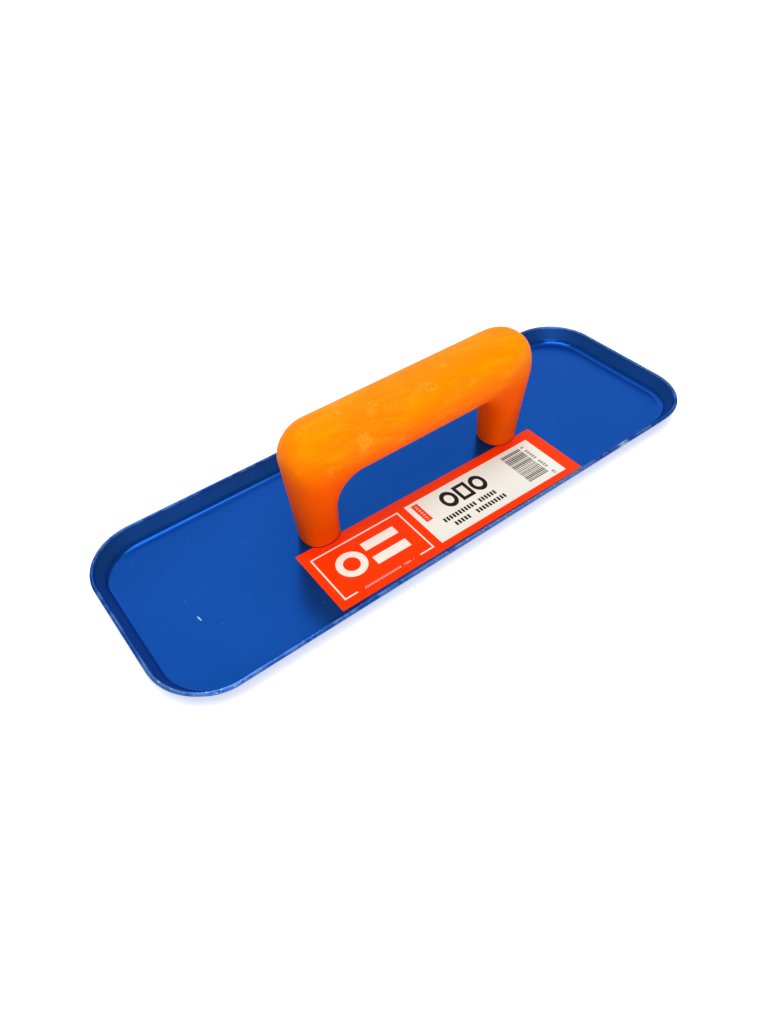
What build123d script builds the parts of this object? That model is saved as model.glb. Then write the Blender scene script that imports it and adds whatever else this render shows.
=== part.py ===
from build123d import *
from math import cos, pi, radians, sin, tan
import os

# Hand float for finishing concrete: a tray pressed from one steel sheet, a one-piece moulded
# handle screwed to it from below, and a label stuck on its floor.
# Millimetres and degrees. X runs along the tray, Y across it, Z up. The origin is the middle
# of the sole, on the sole. The label lies on the -Y side, and "left" is the -X end.

# ---- Tray ---------------------------------------------------------------------------------
TRAY_LENGTH = 290.0  # over the rim
TRAY_WIDTH = 100.0  # over the rim
TRAY_HEIGHT = 9.5  # from the sole to the top of the rim
TRAY_CORNER = 26.0  # plan radius of the rim at the four corners
SHEET = 1.6  # thickness of the steel
WALL_LEAN = 31.0  # how far the wall leans outwards from upright
BEND_RADIUS = 3.0  # inside radius between floor and wall
RIM_ROUND = 0.4  # round on both edges of the cut rim

# ---- Handle -------------------------------------------------------------------------------
FOOT_SPACING = 105.6  # between the middles of the two feet
FOOT_DIAMETER = 17.7
FOOT_ROUND = 0.7  # round on the bottom edge of each foot
GRIP_TOP = 60.3  # top of the grip above the sole
GRIP_UNDERSIDE = 33.4  # underside of the grip above the sole
GRIP_BREADTH = 29.6  # across the grip, along Y
OUTER_SPREAD = 4.35  # how far a leg's outer side has leant outwards where it meets the top line
INNER_SPREAD = 2.15  # the same for its inner side, where it meets the underside of the grip
OUTER_BEND = 12.5  # radius of the shoulder, seen from the side
INNER_BEND = 16.1  # radius inside the finger gap, seen from the side
FULLNESS = 0.64  # how far the cross-section fills its corners; 0.552 is an ellipse, 1 nearly a box
SWELL_AT_BEND = 0.6  # share of the way to full breadth where the leg ends and the bend starts
SWELL_POWER = 1.3  # how late the breadth grows on the way up

# ---- Screws and the threaded inserts that they go into ------------------------------------
SCREW_DIAMETER = 5.0
SCREW_LENGTH = 16.0  # over all, because the head is countersunk
THREAD_PITCH = 0.8
THREAD_DEPTH = 0.49
CREST_WIDTH = 0.1
THREAD_CLEARANCE = 0.08
HEAD_DIAMETER = 9.3
HEAD_LAND = 0.3  # straight edge of the head below its cone
HEAD_RECESS = 0.1  # how far the head lies inside the sole
HEAD_CLEARANCE = 0.1
TIP_LENGTH = 0.6
DRIVE_WIDTH = 5.2  # across the cross recess
DRIVE_SLOT = 1.3  # width of each slot of the cross
DRIVE_DEPTH = 2.9
DRIVE_BOTTOM = 1.6  # across the bottom of the cross recess
INSERT_WALL = 1.5
INSERT_LENGTH = 12.0
INSERT_GROOVE = 0.6  # depth of the two grooves that hold the insert in the plastic
INSERT_GROOVE_WIDTH = 1.6
INSERT_CLEARANCE = 0.03
KNURL_COUNT = 24
KNURL_DEPTH = 0.35

# ---- Dimple in the tray and the socket for it in the foot ----------------------------------
HOLE_CLEARANCE = 0.25  # around the screw, in the tray
DIMPLE_LAND = 1.0  # width of the flat ring on top of the dimple
DIMPLE_CLEARANCE = 0.2  # between the dimple and the socket in the foot
TIP_SPACE = 1.6  # free space above the screw, inside the leg

# ---- Label --------------------------------------------------------------------------------
LABEL_LENGTH = 137.2
LABEL_WIDTH = 36.2
LABEL_THICKNESS = 0.15
LABEL_GLUE = 0.02
LABEL_CORNER = 0.5
LABEL_SHIFT = -0.9  # along X from the middle
LABEL_CREEP = 0.7  # how far the near edge creeps on to the bend of the tray
LABEL_TURN = -0.7  # stuck on a little askew
LABEL_FOOT_GAP = 0.15

# ---- Worked out from the values above ------------------------------------------------------
LEAN = radians(WALL_LEAN)
RIM_TRIM = RIM_ROUND * (sin(LEAN) + cos(LEAN) - 1)  # what rounding an edge takes off its reach
RIM_FOOT_HEIGHT = TRAY_HEIGHT + RIM_TRIM - SHEET * sin(LEAN)  # outer edge of the sharp rim
OUTER_BEND_RADIUS = BEND_RADIUS + SHEET
BEND_TURN = pi / 2 - LEAN
FLOOR_INSET = RIM_FOOT_HEIGHT * tan(LEAN) + OUTER_BEND_RADIUS * tan(BEND_TURN / 2) - RIM_TRIM
HOLE_RADIUS = SCREW_DIAMETER / 2 + HOLE_CLEARANCE
SEAT_REACH = HEAD_DIAMETER / 2 + HEAD_RECESS + HEAD_LAND + HEAD_CLEARANCE  # 45 degree cone: r + z
DIMPLE_REACH = SEAT_REACH + SHEET * 2**0.5
DIMPLE_TOP = DIMPLE_REACH - HOLE_RADIUS - DIMPLE_LAND
SOCKET_REACH = DIMPLE_REACH + DIMPLE_CLEARANCE * 2**0.5
SOCKET_TOP = DIMPLE_TOP + DIMPLE_CLEARANCE
INSERT_RADIUS = SCREW_DIAMETER / 2 + INSERT_WALL
INSERT_TOP = SOCKET_TOP + INSERT_LENGTH
SCREW_TIP = HEAD_RECESS + SCREW_LENGTH
SCREW_NECK = HEAD_RECESS + HEAD_LAND + (HEAD_DIAMETER - SCREW_DIAMETER) / 2
FEET = {"left": -FOOT_SPACING / 2, "right": FOOT_SPACING / 2}
OVERCUT = 1.0  # how far a cutting solid runs past what it cuts
LEG_STEPS = 6  # cross-sections up a leg
BEND_STEPS = 8  # cross-sections round a bend


def turned(points):
    """Solid of revolution about Z from a closed outline of (radius, height) points."""
    outline = Polyline(*[(radius, 0, height) for radius, height in points], close=True)
    return revolve(make_face(outline), Axis.Z)


def layer_section(low, high, rim_round):
    """Cut through a layer parallel to the sole, from its floor edge over the bend to the rim.

    low and high are the layer's distances from the sole. X is the distance from the middle of
    a rounded corner, so turning this face about Z gives the corner.
    """
    middle = (TRAY_CORNER - FLOOR_INSET, OUTER_BEND_RADIUS)
    bends = []
    rims = []
    for offset in (low, high):
        bends.append(CenterArc(middle, OUTER_BEND_RADIUS - offset, -90, 90 - WALL_LEAN))
        rim_x = TRAY_CORNER + RIM_TRIM - offset * cos(LEAN)
        rims.append((rim_x, RIM_FOOT_HEIGHT + offset * sin(LEAN)))
    wall = Polyline(bends[0] @ 1, *rims, bends[1] @ 1)
    floor_cut = Line(bends[0] @ 0, bends[1] @ 0)
    face = make_face([floor_cut, wall, *bends])
    if rim_round:
        face = fillet(face.vertices().sort_by(Axis.Y)[-2:], rim_round)
    return Plane.XZ * face


def pressed_layer(low, high, rim_round=0.0):
    """Tray-shaped layer between two distances from the sole: four corners, four sides, a floor."""
    section = layer_section(low, high, rim_round)
    corner = revolve(section, Axis.Z, 90)
    corner_x = TRAY_LENGTH / 2 - TRAY_CORNER
    corner_y = TRAY_WIDTH / 2 - TRAY_CORNER
    places = [
        (corner_x, corner_y, 0, 2 * corner_y),
        (-corner_x, corner_y, 90, 2 * corner_x),
        (-corner_x, -corner_y, 180, 2 * corner_y),
        (corner_x, -corner_y, 270, 2 * corner_x),
    ]
    floor = Pos(0, 0, low) * extrude(
        RectangleRounded(
            TRAY_LENGTH - 2 * FLOOR_INSET,
            TRAY_WIDTH - 2 * FLOOR_INSET,
            TRAY_CORNER - FLOOR_INSET,
        ),
        high - low,
    )
    pieces = []
    for x, y, turn, side_length in places:
        side = extrude(section, side_length, dir=(0, -1, 0))
        pieces.append(Pos(x, y, 0) * Rot(0, 0, turn) * (corner + side))
    return floor.fuse(*pieces).clean()


def dimple():
    """Disc of the tray's floor with the cone for a screw's head pressed up in its middle."""
    plug_radius = DIMPLE_REACH - SHEET + OVERCUT
    return turned(
        [
            (HOLE_RADIUS, SEAT_REACH - HOLE_RADIUS),
            (SEAT_REACH, 0),
            (plug_radius, 0),
            (plug_radius, SHEET),
            (DIMPLE_REACH - SHEET, SHEET),
            (DIMPLE_REACH - DIMPLE_TOP, DIMPLE_TOP),
            (HOLE_RADIUS, DIMPLE_TOP),
        ]
    )


def float_plate():
    """Pressed tray with a dimpled hole under each foot of the handle."""
    plate = pressed_layer(0, SHEET, RIM_ROUND)
    plug = Pos(0, 0, SHEET / 2) * Cylinder(DIMPLE_REACH - SHEET + OVERCUT, SHEET)
    for x in FEET.values():
        plate = plate - Pos(x, 0, 0) * plug
        plate = plate + Pos(x, 0, 0) * dimple()
    return plate


def rail(foot_x, spread, height, bend):
    """Points up a leg and round its bend on one side, to where the straight grip begins."""
    corner = (foot_x + spread, 0, height)
    path = FilletPolyline((foot_x, 0, SHEET), corner, (0, 0, height), radius=bend)
    leg, turn, _grip = path.edges().sort_by(Axis.Z)
    points = [leg @ (step / LEG_STEPS) for step in range(LEG_STEPS)]
    return points + [turn @ (step / BEND_STEPS) for step in range(BEND_STEPS + 1)]


def swell():
    """Share of the way from the foot's breadth to the grip's, at each point of a rail."""
    leg = [SWELL_AT_BEND * step / LEG_STEPS for step in range(LEG_STEPS)]
    turn = [SWELL_AT_BEND + (1 - SWELL_AT_BEND) * step / BEND_STEPS for step in range(BEND_STEPS + 1)]
    return [share**SWELL_POWER for share in leg + turn]


def oval(half_x, half_y):
    """Filled outline of four like curves, fuller than an ellipse; every handle section is one."""
    tips = [Vector(half_x, 0), Vector(0, half_y), Vector(-half_x, 0), Vector(0, -half_y)]
    quarters = []
    for start, end in zip(tips, tips[1:] + tips[:1]):
        quarters.append(Bezier(start, start + end * FULLNESS, end + start * FULLNESS, end))
    return make_face(quarters)


def handle_section(outer, inner, half_breadth):
    """Section of the handle that spans the two rails and is half_breadth deep to each side."""
    across = (outer - inner).normalized()
    plane = Plane(origin=(outer + inner) / 2, x_dir=across, z_dir=across.cross(Vector(0, 1, 0)))
    return plane * oval((outer - inner).length / 2, half_breadth)


def insert_outline(gap):
    """Outline of an insert, grown all round by a gap: three collars with two grooves between."""
    collar = (INSERT_LENGTH - 2 * INSERT_GROOVE_WIDTH) / 3
    radius = INSERT_RADIUS + gap
    neck = INSERT_RADIUS - INSERT_GROOVE + gap
    points = [(0, SOCKET_TOP - gap), (radius, SOCKET_TOP - gap)]
    for groove in range(2):
        start = SOCKET_TOP + collar + groove * (collar + INSERT_GROOVE_WIDTH)
        end = start + INSERT_GROOVE_WIDTH
        points += [(radius, start + gap), (neck, start + gap), (neck, end - gap), (radius, end - gap)]
    return points + [(radius, INSERT_TOP + gap), (0, INSERT_TOP + gap)]


def foot_socket():
    """What is hollow inside a foot: the dimple's cone, the insert's bed and the screw's tip."""
    cone = turned(
        [
            (0, SHEET - OVERCUT),
            (SOCKET_REACH - SHEET + OVERCUT, SHEET - OVERCUT),
            (SOCKET_REACH - SOCKET_TOP, SOCKET_TOP),
            (0, SOCKET_TOP),
        ]
    )
    bed = turned(insert_outline(INSERT_CLEARANCE))
    tip_top = max(INSERT_TOP, SCREW_TIP) + TIP_SPACE
    tip = Pos(0, 0, tip_top / 2) * Cylinder(HOLE_RADIUS, tip_top)
    return cone + bed + tip


def handle():
    """D handle with its feet on the tray's floor, solid but for the sockets in its feet."""
    foot_radius = FOOT_DIAMETER / 2
    middle = FOOT_SPACING / 2
    outer = rail(middle + foot_radius, OUTER_SPREAD, GRIP_TOP, OUTER_BEND)
    inner = rail(middle - foot_radius, INNER_SPREAD, GRIP_UNDERSIDE, INNER_BEND)
    growth = GRIP_BREADTH / 2 - foot_radius
    sections = [
        handle_section(high, low, foot_radius + growth * share)
        for high, low, share in zip(outer, inner, swell())
    ]
    grip = extrude(sections[-1], outer[-1].X + OVERCUT, dir=(-1, 0, 0))
    half = loft(sections[LEG_STEPS:]) + split(grip, bisect_by=Plane.YZ, keep=Keep.TOP)
    for lower, upper in zip(sections[:LEG_STEPS], sections[1:]):
        half = half + loft([lower, upper])
    half = fillet(half.faces().sort_by(Axis.Z)[0].edges(), FOOT_ROUND)
    half = half - Pos(middle, 0, 0) * foot_socket()
    return half + mirror(half, about=Plane.YZ)


def thread_rod(first, last, growth):
    """Rod with one ridge for each turn of the thread, so a stack of rings stands for the helix.

    Turns are counted from the screw's neck, so a rod for the screw and one that cuts its
    insert line up.
    """
    crest = SCREW_DIAMETER / 2 + growth
    root = crest - THREAD_DEPTH
    points = [(0, SCREW_NECK + first * THREAD_PITCH)]
    for ring in range(first, last):
        base = SCREW_NECK + ring * THREAD_PITCH
        ridge = base + THREAD_PITCH / 2
        points += [(root, base), (crest, ridge - CREST_WIDTH / 2), (crest, ridge + CREST_WIDTH / 2)]
    end = SCREW_NECK + last * THREAD_PITCH
    return turned(points + [(root, end), (0, end)])


def screw():
    """Countersunk screw with a cross recess, head down and flush with the sole."""
    head_radius = HEAD_DIAMETER / 2
    shank_radius = SCREW_DIAMETER / 2
    turns = int((SCREW_TIP - TIP_LENGTH - SCREW_NECK) / THREAD_PITCH)
    thread_top = SCREW_NECK + turns * THREAD_PITCH
    root = shank_radius - THREAD_DEPTH
    head = turned(
        [
            (0, HEAD_RECESS),
            (head_radius, HEAD_RECESS),
            (head_radius, HEAD_RECESS + HEAD_LAND),
            (shank_radius, SCREW_NECK),
            (0, SCREW_NECK),
        ]
    )
    tip = turned([(0, thread_top), (root, thread_top), (root - TIP_LENGTH / 2, SCREW_TIP), (0, SCREW_TIP)])
    slots = Box(DRIVE_WIDTH, DRIVE_SLOT, DRIVE_DEPTH) + Box(DRIVE_SLOT, DRIVE_WIDTH, DRIVE_DEPTH)
    taper = turned(
        [
            (0, HEAD_RECESS - OVERCUT),
            (DRIVE_WIDTH / 2, HEAD_RECESS - OVERCUT),
            (DRIVE_WIDTH / 2, HEAD_RECESS),
            (DRIVE_BOTTOM / 2, HEAD_RECESS + DRIVE_DEPTH),
            (0, HEAD_RECESS + DRIVE_DEPTH),
        ]
    )
    drive = taper & (Pos(0, 0, HEAD_RECESS + DRIVE_DEPTH / 2) * slots)
    return head + thread_rod(0, turns, 0) + tip - drive


def insert():
    """Brass insert, knurled and grooved outside and threaded inside."""
    body = turned(insert_outline(0))
    notch = Pos(INSERT_RADIUS, 0, SOCKET_TOP + INSERT_LENGTH / 2) * Rot(0, 0, 45) * Box(
        KNURL_DEPTH * 2**0.5, KNURL_DEPTH * 2**0.5, INSERT_LENGTH
    )
    knurl = [Rot(0, 0, 360 * step / KNURL_COUNT) * notch for step in range(KNURL_COUNT)]
    body = body.cut(*knurl)
    first = int((SOCKET_TOP - SCREW_NECK) / THREAD_PITCH) - 1
    last = int((INSERT_TOP - SCREW_NECK) / THREAD_PITCH) + 2
    return body - thread_rod(first, last, THREAD_CLEARANCE)


def label():
    """Printed label, cut out round the feet, its near edge curling up the bend of the tray."""
    floor_edge = TRAY_WIDTH / 2 - FLOOR_INSET
    middle_y = LABEL_WIDTH / 2 - floor_edge - LABEL_CREEP
    plan = Pos(LABEL_SHIFT, middle_y) * Rot(0, 0, LABEL_TURN) * RectangleRounded(
        LABEL_LENGTH, LABEL_WIDTH, LABEL_CORNER
    )
    notch = FOOT_DIAMETER / 2 + LABEL_FOOT_GAP
    for x in FEET.values():
        plan = plan - Pos(x, 0) * oval(notch, notch)
    under = SHEET + LABEL_GLUE
    return pressed_layer(under, under + LABEL_THICKNESS) & extrude(plan, TRAY_HEIGHT)


def main():
    """Build each piece in its place and write one STEP file for each."""
    pieces = {"float_plate": float_plate(), "handle": handle(), "label": label()}
    for side, x in FEET.items():
        pieces[f"{side}_insert"] = Pos(x, 0, 0) * insert()
        pieces[f"{side}_screw"] = Pos(x, 0, 0) * screw()
    os.makedirs("parts", exist_ok=True)
    for name, piece in pieces.items():
        export_step(piece, f"parts/{name}.step")


main()
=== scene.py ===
"""Looks of a painted steel hand float with a moulded handle and a printed label.

Laid out as a Blender add-on and run as a script. Sizes are in metres, unless a name ends in
_MM; materials and the marks on the label are worked out in millimetres. The float lies along X
with its sole on Z = 0 and its label on the -Y side, which is its near side.
"""

import bpy
import numpy as np
from bpy.props import FloatProperty, FloatVectorProperty, PointerProperty
from mathutils import Matrix, Vector


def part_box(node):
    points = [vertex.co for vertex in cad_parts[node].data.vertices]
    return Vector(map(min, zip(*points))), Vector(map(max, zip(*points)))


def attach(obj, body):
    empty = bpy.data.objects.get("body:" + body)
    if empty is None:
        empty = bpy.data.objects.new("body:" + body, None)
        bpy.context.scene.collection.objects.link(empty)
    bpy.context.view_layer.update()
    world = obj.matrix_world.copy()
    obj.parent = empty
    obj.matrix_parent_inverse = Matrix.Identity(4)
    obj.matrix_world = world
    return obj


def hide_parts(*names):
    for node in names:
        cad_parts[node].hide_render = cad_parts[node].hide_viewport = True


bl_info = {
    "name": "Steel Hand Float",
    "version": (1, 0, 0),
    "blender": (4, 5, 0),
    "location": "3D View > Sidebar > Hand Float",
    "description": "Builds a painted steel hand float with its handle, label and screws",
    "category": "Add Mesh",
}

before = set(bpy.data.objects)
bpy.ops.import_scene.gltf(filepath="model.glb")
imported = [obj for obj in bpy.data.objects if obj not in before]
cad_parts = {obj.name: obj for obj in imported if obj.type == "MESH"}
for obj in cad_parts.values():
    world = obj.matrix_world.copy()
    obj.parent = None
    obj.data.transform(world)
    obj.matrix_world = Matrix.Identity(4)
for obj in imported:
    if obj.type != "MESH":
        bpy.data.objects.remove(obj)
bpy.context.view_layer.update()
TRAY_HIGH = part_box("float_plate")[1]
HANDLE_LOW, HANDLE_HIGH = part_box("handle")
SCREW_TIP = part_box("right_screw")[1].z

MM = 0.001  # one millimetre
WELD = 1e-7  # points closer than this are one vertex


# ---- Meshes ---------------------------------------------------------------------------------


def closed_mesh(name, patches, crease, places=None):
    """Join grids of points into one closed mesh, smooth but for edges sharper than crease.

    A patch is (rows, columns, 3), and the cross product of its row and column directions
    points out of the material. Points that fall together become one vertex, and a four-sided
    face with two like corners becomes a triangle. places are the same grids' own coordinates,
    kept as the attribute "place".
    """
    quads, start = [], 0
    for patch in patches:
        rows, columns = patch.shape[:2]
        index = start + np.arange(rows * columns).reshape(rows, columns)
        ring = [index[:-1, :-1], index[1:, :-1], index[1:, 1:], index[:-1, 1:]]
        quads.append(np.stack(ring, -1).reshape(-1, 4))
        start += rows * columns
    points = np.concatenate([patch.reshape(-1, 3) for patch in patches])
    keys = np.round(points / WELD).astype(np.int64)
    _, first, merged = np.unique(keys, axis=0, return_index=True, return_inverse=True)
    quads = merged.reshape(-1)[np.concatenate(quads)]
    like_next = quads == np.roll(quads, -1, axis=1)
    pinched = like_next.sum(1) == 1
    triangles = quads[pinched][~like_next[pinched]].reshape(-1, 3)
    whole = quads[~like_next.any(1)]
    mesh = bpy.data.meshes.new(name)
    mesh.from_pydata(points[first].tolist(), [], whole.tolist() + triangles.tolist())
    mesh.shade_smooth()
    mesh.set_sharp_from_angle(angle=crease)
    if places is not None:
        flat = np.concatenate([place.reshape(-1, 3) for place in places])[first]
        kept = mesh.attributes.new("place", "FLOAT_VECTOR", "POINT")
        kept.data.foreach_set("vector", flat.astype(np.float32).ravel())
    piece = bpy.data.objects.new(name, mesh)
    bpy.context.scene.collection.objects.link(piece)
    return piece


def along(start, end, count):
    """Points from start to end in equal steps, both included: start + (end - start) t."""
    t = np.linspace(0, 1, count)[:, None]
    return np.asarray(start) * (1 - t) + np.asarray(end) * t


# ---- Shader nodes ---------------------------------------------------------------------------


class Signal:
    """A value that changes over a surface: Python's operators add Math nodes behind it."""

    def __init__(self, finish, socket):
        self.finish, self.socket = finish, socket

    def math(self, operation, *others):
        inputs = dict(enumerate((self, *others)))
        return self.finish.node("ShaderNodeMath", {"operation": operation}, inputs)

    def __add__(self, other):
        return self.math("ADD", other)

    def __sub__(self, other):
        return self.math("SUBTRACT", other)

    def __rsub__(self, other):
        return self * -1 + other

    def __mul__(self, other):
        return self.math("MULTIPLY", other)

    def __truediv__(self, other):
        return self.math("DIVIDE", other)

    def __abs__(self):
        return self.math("ABSOLUTE")

    __radd__, __rmul__ = __add__, __mul__

    def rise(self, low, high):
        """0 below low, 1 above high, and smooth between; low above high makes it fall."""
        settings = {"interpolation_type": "SMOOTHSTEP"}
        ends = (low, high, 0.0, 1.0) if low < high else (high, low, 1.0, 0.0)
        inputs = dict(enumerate((self, *ends)))
        return self.finish.node("ShaderNodeMapRange", settings, inputs)

    def within(self, low, high, soft):
        """1 between low and high with soft edges, 0 outside."""
        return self.rise(low - soft, low + soft) * self.rise(high + soft, high - soft)

    def either(self, other):
        """The larger of two masks."""
        return self.math("MAXIMUM", other)


class Finish:
    """One material: node() adds any node and gives its output, and surface() ends it."""

    def __init__(self, name):
        self.material = bpy.data.materials.new(name)
        self.material.use_nodes = True
        self.tree = self.material.node_tree
        self.tree.nodes.clear()

    def node(self, kind, settings=None, inputs=None, output=0):
        made = self.tree.nodes.new(kind)
        for key, value in (settings or {}).items():
            setattr(made, key, value)
        for key, value in (inputs or {}).items():
            if isinstance(value, Signal):
                self.tree.links.new(value.socket, made.inputs[key])
            else:
                made.inputs[key].default_value = value
        return Signal(self, made.outputs[output])

    def split(self, vector):
        """The three numbers of a vector, each as a Signal."""
        node = self.node("ShaderNodeSeparateXYZ", None, {0: vector}).socket.node
        return [Signal(self, output) for output in node.outputs]

    def object_place(self):
        """Where a point is on the object, as a vector in millimetres."""
        place = self.node("ShaderNodeTexCoord", output="Object")
        return self.stretch(place, (1 / MM, 1 / MM, 1 / MM))

    def stretch(self, vector, scale):
        """The vector with each of its numbers multiplied by its scale."""
        return self.node("ShaderNodeVectorMath", {"operation": "MULTIPLY"}, {0: vector, 1: scale})

    def joined(self, x, y):
        """Vector (x, y, 0) of two numbers."""
        return self.node("ShaderNodeCombineXYZ", None, {0: x, 1: y})

    def noise(self, vector, scale, detail=2.0, roughness=0.5, distortion=0.0):
        inputs = {"Vector": vector, "Scale": scale, "Detail": detail, "Roughness": roughness}
        inputs["Distortion"] = distortion
        return self.node("ShaderNodeTexNoise", None, inputs)

    def chance(self, vector):
        """A random number from 0 to 1 for each different vector."""
        return self.node("ShaderNodeTexWhiteNoise", {"noise_dimensions": "3D"}, {"Vector": vector})

    def mix(self, factor, first, second):
        """Colour that goes from first to second as factor goes from 0 to 1."""
        inputs = {0: factor, 6: first, 7: second}
        return self.node("ShaderNodeMix", {"data_type": "RGBA"}, inputs, output=2)

    def bump(self, height, distance):
        """Normal of a surface that stands up by distance where height is 1."""
        return self.node("ShaderNodeBump", None, {"Height": height, "Distance": distance})

    def surface(self, **inputs):
        """Principled surface; underscores in the socket names stand for spaces."""
        named = {key.replace("_", " "): value for key, value in inputs.items()}
        shader = self.node("ShaderNodeBsdfPrincipled", None, named)
        output = self.tree.nodes.new("ShaderNodeOutputMaterial")
        self.tree.links.new(shader.socket, output.inputs["Surface"])
        return self.material


def opaque(tint):
    """A colour with a full alpha, as a colour socket takes it."""
    return (*tint, 1.0)


def scaled(tint, factor, lift=0.0):
    """A lighter or darker colour: each of its numbers times factor, plus lift."""
    return [part * factor + lift for part in tint]


# ---- Settings a user would change -----------------------------------------------------------


def length(name, description, default):
    return FloatProperty(name=name, description=description, default=default, min=0.0, unit="LENGTH")


def angle(name, description, default):
    return FloatProperty(name=name, description=description, default=default, unit="ROTATION")


def colour(name, description, default):
    return FloatVectorProperty(
        name=name, description=description, default=default, size=3, min=0.0, max=1.0, subtype="COLOR"
    )


def share(name, description, default):
    return FloatProperty(
        name=name, description=description, default=default, min=0.0, max=1.0, subtype="FACTOR"
    )


class TraySettings(bpy.types.PropertyGroup):
    """Sizes and paint of the pressed tray."""

    corner: length("Corner radius", "Plan radius of the rim at the corners", 0.026)
    sheet: length("Sheet", "Thickness of the steel", 0.0016)
    lean: angle("Wall lean", "How far the wall leans outwards from upright", np.radians(31.0))
    bend: length("Bend radius", "Inside radius between floor and wall", 0.003)
    rim_round: length("Rim round", "Round on both edges of the cut rim", 0.0004)
    hole: length("Hole radius", "Radius of the hole for a screw", 0.00275)
    seat: length("Seat radius", "Radius of the countersink at the sole", 0.00515)
    land: length("Dimple land", "Width of the flat ring on a dimple", 0.001)
    foot_spacing: length("Foot spacing", "Between the middles of the two feet", 0.1056)
    paint: colour("Paint", "Colour of the paint", (0.0042, 0.062, 0.325))
    chipped: colour("Worn paint", "Colour of the scuffed rim", (0.11, 0.26, 0.58))
    wear: share("Wear", "How worn the rim is", 0.55)


class HandleSettings(bpy.types.PropertyGroup):
    """Sizes and plastic of the moulded handle."""

    foot: length("Foot diameter", "Diameter of a foot", 0.0177)
    foot_round: length("Foot round", "Round on the bottom edge of a foot", 0.0007)
    underside: length("Grip underside", "Height of the grip's underside above the sole", 0.0334)
    outer_spread: length("Outer spread", "How far a leg's outer side leans out", 0.00435)
    inner_spread: length("Inner spread", "How far a leg's inner side leans out", 0.00215)
    outer_bend: length("Shoulder radius", "Radius of the shoulder", 0.0125)
    inner_bend: length("Finger gap radius", "Radius inside the finger gap", 0.0161)
    fullness: FloatProperty(
        name="Fullness", description="2 is an elliptic section, higher is squarer", default=2.3, min=1.5
    )
    plastic: colour("Plastic", "Colour of the plastic", (1.0, 0.26, 0.0))
    rubbed: colour("Rubbed plastic", "Colour of the grip where it is scuffed", (1.0, 0.36, 0.002))


class LabelSettings(bpy.types.PropertyGroup):
    """Sizes and inks of the printed label."""

    length: length("Length", "Along the tray", 0.1372)
    width: length("Width", "Across the tray", 0.0362)
    thickness: length("Thickness", "Of the printed film", 0.00015)
    glue: length("Glue", "Gap between the paint and the film", 0.00002)
    corner: length("Corner radius", "Round on each corner of the film", 0.0005)
    shift: FloatProperty(
        name="Shift", description="From the middle, along X", default=-0.0009, unit="LENGTH"
    )
    creep: length("Creep", "How far the near edge runs on to the bend", 0.0007)
    turn: angle("Turn", "Stuck on askew by this much", np.radians(-0.7))
    foot_gap: length("Foot gap", "Between the film and a foot", 0.00015)
    ground: colour("Ground", "Main ink", (1.0, 0.040, 0.0004))
    pale: colour("Pale ink", "Ink of the border and the badge", (0.93, 0.88, 0.78))
    panel: colour("Panel", "Ink of the plain panel", (0.84, 0.89, 0.81))
    dark: colour("Dark ink", "Ink of the marks on the panel", (0.012, 0.012, 0.013))


class MetalSettings(bpy.types.PropertyGroup):
    """Metals of the screws and inserts."""

    zinc: colour("Zinc", "Plating of the screws", (0.62, 0.63, 0.62))
    brass: colour("Brass", "Metal of the inserts", (0.80, 0.56, 0.24))


class StageSettings(bpy.types.PropertyGroup):
    """Floor, light and camera."""

    floor: colour("Floor", "Colour of the floor", (0.93, 0.93, 0.93))
    floor_size: length("Floor size", "Side of the square floor", 6.0)
    key_light: FloatProperty(name="Key light", description="Watts of the softbox above", default=9.0)
    back_light: FloatProperty(name="Back light", description="Watts of the panel behind", default=13.0)
    fill_light: FloatProperty(name="Fill light", description="Watts of the fill", default=3.3)
    sky: FloatProperty(name="Sky", description="Strength of the light all round", default=0.24)
    floor_glow: FloatProperty(name="Floor glow", description="Light that the floor gives", default=0.5)
    azimuth: angle("Azimuth", "Camera's place round the float", np.radians(-35.757))
    elevation: angle("Elevation", "Camera's height above the horizon", np.radians(45.578))
    roll: angle("Roll", "Camera's turn about its own line of sight", np.radians(-2.4035))
    distance: length("Distance", "From the camera to its target", 0.341009)
    aim: FloatVectorProperty(
        name="Aim",
        description="Point that the camera looks at",
        default=(-0.022434, -0.006725, 0.0),
        size=3,
        subtype="TRANSLATION",
        unit="LENGTH",
    )
    lens: FloatProperty(name="Lens", description="Focal length in millimetres", default=26.4497)


# ---- Tray -----------------------------------------------------------------------------------

CORNER_STEPS = 28
SIDE_STEPS = 24
MIDDLE_STEPS = 12  # across the floor where its two halves meet
BEND_ROWS = 12
WALL_ROWS = 8
ROUND_ROWS = 7
FLOOR_ROWS = 7
TRAY_CREASE = np.radians(30)  # edges turned by more than this stay sharp
RIM_FADE_MM = (8.35, 9.25)  # heights above the sole between which the rim's scuffs and its painted highlight fade in
BARE_FADE_MM = (8.5, 9.1)  # the same for its bare spots
WALL_MM = (3.6, 8.2)  # heights between which the paint looks as it does on the wall: rougher, less metallic and darkened as painted shade
BEND_MM = (1.8, 3.2)  # the same for the glossier bend
CHIP_X_MM = 88.0  # middle of the chip in the near rim
SCRATCH_MM = (-116.6, -8.7)  # place of the scratch on the floor
SCRATCH_ENDS_MM = (-10.0, -7.6)  # its ends along Y
SCRATCH_LEAN = 0.12  # how far it leans over along X for each step along Y
# Painted shade: a darker paint colour that stands in for the shade and dark reflections on the walls.
WALL_PAINTED_SHADE = (0.013, 0.066, 0.20)
DUSTY_PAINT = (0.10, 0.22, 0.52)
BARE_STEEL = (0.46, 0.62, 0.72)
SCRATCHED_STEEL = (0.55, 0.80, 0.90)
PAINT_SPECULAR = 0.14
PAINT_GLEAM = (0.16, 0.46, 1.0)  # tint of its reflections


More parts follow.
